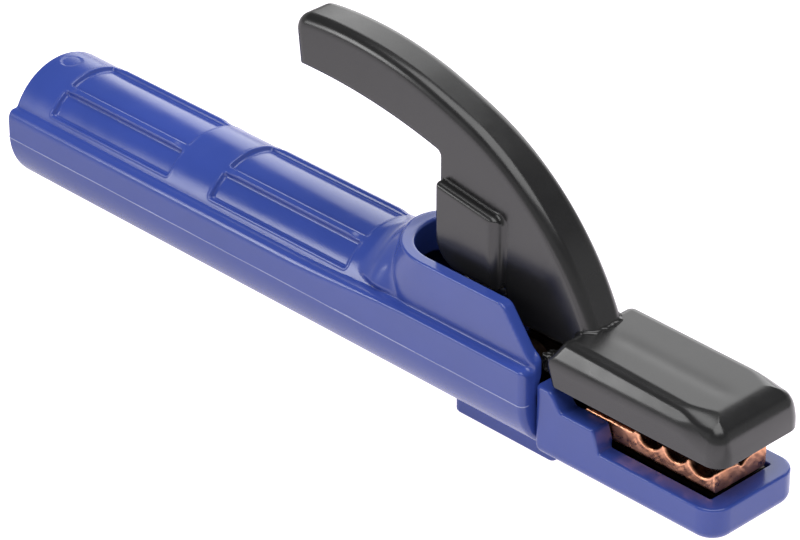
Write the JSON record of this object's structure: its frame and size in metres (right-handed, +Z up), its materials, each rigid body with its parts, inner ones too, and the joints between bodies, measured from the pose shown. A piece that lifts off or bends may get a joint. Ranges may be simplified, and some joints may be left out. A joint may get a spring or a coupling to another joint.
{
  "type": "electrode holder",
  "caption": "Tong-type welding electrode holder: insulated handle sleeve, sprung lever and two grooved copper jaws with an insulating tray and cover.",
  "frame": {"origin": "on the flat bottom face of the keel under the handle sleeve, in the holder's mid-plane", "axes": "+X along the handle from the cable end towards the jaws, +Y to the left, +Z up through the lever"},
  "size_m": [0.2438, 0.037, 0.0879],
  "materials": {
    "blue_plastic": "moulded, semi-gloss",
    "black_plastic": "moulded, satin",
    "copper": "copper, bright, slightly rough",
    "brass": "cast and machined",
    "steel": "zinc plated",
    "spring_steel": "dark oiled",
    "fibre": "pressed fibre"
  },
  "bodies": {
    "holder": {"handle_sleeve": "blue_plastic", "lower_jaw_insulator": "blue_plastic", "lower_jaw": "copper", "conductor_body": "brass", "cable_shim": "copper", "handle_screw": "steel", "tray_screw_front": "steel", "tray_screw_rear": "steel", "hinge_pin": "steel", "pin_clip": "spring_steel", "spring_washer": "fibre", "lever_spring": "spring_steel"},
    "lever": {"lever_grip": "black_plastic", "lever_core": "brass", "upper_jaw": "copper", "upper_jaw_cover": "black_plastic", "upper_jaw_screw": "steel", "cover_screw": "steel", "hinge_bush": "brass", "spring_cap": "steel"},
    "saddle": {"clamp_saddle": "brass"},
    "front_set_screw": {"clamp_screw_front": "steel"},
    "rear_set_screw": {"clamp_screw_rear": "steel"}
  },
  "joints": [
    {"name": "lever_pivot", "type": "hinge", "parent": "holder", "child": "lever", "pos_m": [0.006, 0, 0.0242], "axis": [0, -1, 0], "range_deg": [0, 15], "deforming": ["lever_spring"]},
    {"name": "saddle_slide", "type": "slide", "parent": "holder", "child": "saddle", "axis": [0, 0, -1], "range_m": [0, 0.0035]},
    {"name": "front_screw_slide", "type": "slide", "parent": "holder", "child": "front_set_screw", "axis": [0, 0, -1], "range_m": [0, 0.0035]},
    {"name": "rear_screw_slide", "type": "slide", "parent": "holder", "child": "rear_set_screw", "axis": [0, 0, -1], "range_m": [0, 0.0035]}
  ],
  "couplings": [
    {"joint": "front_screw_slide", "follows": "saddle_slide", "ratio": 1},
    {"joint": "rear_screw_slide", "follows": "saddle_slide", "ratio": 1}
  ]
}
